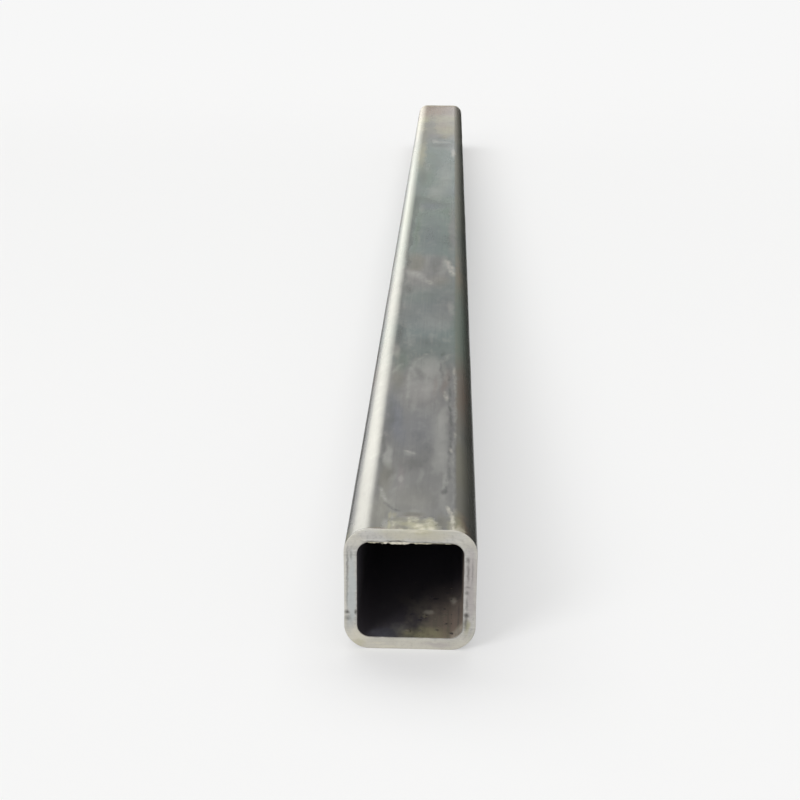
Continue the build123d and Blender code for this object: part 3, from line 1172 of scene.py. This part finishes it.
def make_floor(stage):
    """A wide flat floor that keeps the tube's shadow and looks nearly white.

    It adds as much white of its own as the lamps leave missing on the open floor.
    """
    steps = np.linspace(-FLOOR_REACH, FLOOR_REACH, FLOOR_STEPS)
    x, y = np.meshgrid(steps, steps)
    points = np.stack([x, y, 0 * x], -1).reshape(-1, 3)
    faces = grid_faces(FLOOR_STEPS, FLOOR_STEPS, False, False)
    _, n = new_sheet("floor", points.tolist(), faces.tolist())
    place = n.add("ShaderNodeTexCoord").outputs["Object"]
    light = n.math("ADD", light_on_floor(n, place), stage.ambient)
    lift = n.math("SUBTRACT", stage.floor_white, n.times(light, stage.floor[0]))
    lift = n.times(seen_directly_or_in_gloss(n), n.math("MAXIMUM", lift, 0.0))
    diffuse = n.add("ShaderNodeBsdfDiffuse", (*stage.floor, 1.0)).outputs[0]
    glow = n.add("ShaderNodeEmission", WHITE, lift).outputs[0]
    both = n.add("ShaderNodeAddShader", diffuse, glow).outputs[0]
    n.add("ShaderNodeOutputMaterial", both)


def make_room(stage):
    """Even light from all round, paler where the camera or the steel's gloss sees it."""
    world = bpy.data.worlds.new("room")
    bpy.context.scene.world = world
    world.use_nodes = True
    n = new_tree(world.node_tree)
    strength = n.step(seen_directly_or_in_gloss(n), 0.0, 1.0, stage.ambient, stage.room)
    n.add("ShaderNodeOutputWorld", n.add("ShaderNodeBackground", WHITE, strength).outputs[0])


def make_lamps():
    """The soft oblong lamps: a key in front at the left, a fill in front and one overhead."""
    for name, place, aim, width, height, brightness, _ in LAMPS:
        light = bpy.data.lights.new(name, "AREA")
        light.shape = "RECTANGLE"
        light.size, light.size_y = width, height
        light.energy = brightness * math.pi * width * height
        lamp = new_object(name, light)
        lamp.location = place
        lamp.rotation_euler = lamp_turn(place, aim).to_euler()
        lamp.visible_camera = False


def make_reflector():
    """A far upright sheet that the steel mirrors: bright at the left, dark at the right.

    Its brightness follows the angle round the point where the tube's own line meets it, so each
    corner of the tube mirrors one soft band from end to end.
    """
    n = new_mirrored_sheet("reflector", [(x, REFLECTOR_PLACE, z) for x, z in REFLECTOR_OUTLINE])
    place = n.add("ShaderNodeTexCoord").outputs["Object"]
    x, _, z = n.add("ShaderNodeSeparateXYZ", place).outputs
    rise = n.math("SUBTRACT", z, SIDE)
    away = n.math("SQRT", n.math("ADD", n.times(x, x), n.times(rise, rise)))
    turn = n.math("ADD", n.math("DIVIDE", n.math("ARCTAN2", x, rise), math.pi), 0.5)
    narrow, middle, wide = (
        n.ramp(turn, [(t, [v / REFLECTOR_STRENGTH] * 3) for t, v in zip(REFLECTOR_TURNS, ring)])
        for ring in REFLECTOR_RINGS
    )
    light = n.blend(n.step(away, 3.0, 4.7), narrow, middle)
    light = n.blend(n.step(away, 7.0, 9.8), light, wide)
    light = n.blend(n.step(away, 14.0, 20.0), light, REFLECTOR_EDGE)
    light = n.blend(n.step(turn, 0.5, 0.4), light, REFLECTOR_TINT, "MULTIPLY")
    glow = n.add("ShaderNodeEmission", light, REFLECTOR_STRENGTH).outputs[0]
    n.add("ShaderNodeOutputMaterial", glow)


def make_cards():
    """The dark cards. Only gloss that meets them at a low angle sees them."""
    for name, (x, outline) in CARDS.items():
        n = new_mirrored_sheet(name, [(x, y, z) for y, z in outline])
        slanting = n.step(n.add("ShaderNodeLayerWeight").outputs["Facing"], 0.35, 0.5)
        clear = n.add("ShaderNodeBsdfTransparent").outputs[0]
        dark = n.add("ShaderNodeBsdfDiffuse", (0.02, 0.02, 0.02, 1.0)).outputs[0]
        both = n.add("ShaderNodeMixShader", slanting, clear, dark).outputs[0]
        n.add("ShaderNodeOutputMaterial", both)


def make_camera(stage):
    """The camera, at its place: turned by its heading, tipped by its pitch, then leant."""
    data = bpy.data.cameras.new("camera")
    data.lens = stage.lens
    data.sensor_width = 36.0
    data.clip_end = 200.0
    camera = new_object("camera", data)
    camera.matrix_world = (
        Matrix.Translation(stage.eye)
        @ Matrix.Rotation(-stage.heading, 4, "Z")
        @ Matrix.Rotation(math.pi / 2 - stage.pitch, 4, "X")
        @ Matrix.Rotation(stage.roll, 4, "Z")
    )
    bpy.context.scene.camera = camera


# ---------------------------------------------------------------- operators


class TUBE_OT_make_tube(bpy.types.Operator):
    """Make the tube's steel: its skin, its sawn ends and its bore, as one closed surface"""

    bl_idname = "tube_stock.make_tube"
    bl_label = "Make tube"

    def execute(self, context):
        sizes, colours = context.scene.tube_sizes, context.scene.tube_colours
        points, across, finish = tube_surface(sizes)
        rows, columns = points.shape[:2]
        piece = new_piece(
            "tube_steel",
            points,
            grid_faces(rows, columns, True, True),
            [scale_finish(colours), sawn_finish(colours), bore_finish(colours)],
            material_of_face=np.repeat(finish[:, None], columns, 1),
            marks={"across": np.repeat(across[:, None], columns, 1)},
        )
        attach(piece, "root")
        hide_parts("tube")
        return {"FINISHED"}


class TUBE_OT_make_burr(bpy.types.Operator):
    """Make the ragged burr along the top of the bore's mouth"""

    bl_idname = "tube_stock.make_burr"
    bl_label = "Make saw burr"

    def execute(self, context):
        sizes, colours = context.scene.tube_sizes, context.scene.tube_colours
        points, faces, caps = close_strip(burr_surface(sizes))
        piece = new_piece("saw_burr", points, faces, [burr_finish(colours)], more_faces=caps)
        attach(piece, "root")
        return {"FINISHED"}


class TUBE_OT_make_flakes(bpy.types.Operator):
    """Make the loose flakes of scale that lie in the bore"""

    bl_idname = "tube_stock.make_flakes"
    bl_label = "Make loose flakes"

    def execute(self, context):
        sizes, colours = context.scene.tube_sizes, context.scene.tube_colours
        points, faces = flake_surfaces(sizes)
        piece = new_piece("loose_flakes", points, faces, [flake_finish(colours)])
        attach(piece, "root")
        return {"FINISHED"}


class TUBE_OT_make_stage(bpy.types.Operator):
    """Make the pale floor, the lamps, the room's light and the camera"""

    bl_idname = "tube_stock.make_stage"
    bl_label = "Make stage"

    def execute(self, context):
        stage = context.scene.tube_stage
        make_floor(stage)
        make_room(stage)
        make_lamps()
        make_reflector()
        make_cards()
        make_camera(stage)
        context.scene.view_settings.view_transform = "Standard"
        return {"FINISHED"}


class TUBE_PT_panel(bpy.types.Panel):
    """Lists what can be made"""

    bl_label = "Square steel tube"
    bl_idname = "TUBE_PT_panel"
    bl_space_type = "VIEW_3D"
    bl_region_type = "UI"
    bl_category = "Tube"

    def draw(self, context):
        for operator in OPERATORS:
            self.layout.operator(operator.bl_idname)


OPERATORS = (TUBE_OT_make_tube, TUBE_OT_make_burr, TUBE_OT_make_flakes, TUBE_OT_make_stage)
SETTINGS = {"tube_sizes": TubeSizes, "tube_colours": TubeColours, "tube_stage": StageSettings}
CLASSES = (*SETTINGS.values(), *OPERATORS, TUBE_PT_panel)


def register():
    """Tells Blender of the settings, the operators and the panel."""
    for each in CLASSES:
        bpy.utils.register_class(each)
    for name, group in SETTINGS.items():
        setattr(bpy.types.Scene, name, PointerProperty(type=group))


def unregister():
    """Takes them away again."""
    for name in SETTINGS:
        delattr(bpy.types.Scene, name)
    for each in reversed(CLASSES):
        bpy.utils.unregister_class(each)


def main():
    """Makes every piece and the stage, and works out the sizes."""
    register()
    bpy.ops.tube_stock.make_tube()
    bpy.ops.tube_stock.make_burr()
    bpy.ops.tube_stock.make_flakes()
    bpy.ops.tube_stock.make_stage()
    boxes = {"cad": cad_box, "visual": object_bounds()}
    {name: [list(low), list(high)] for name, (low, high) in boxes.items()}


if __name__ == "__main__":
    main()
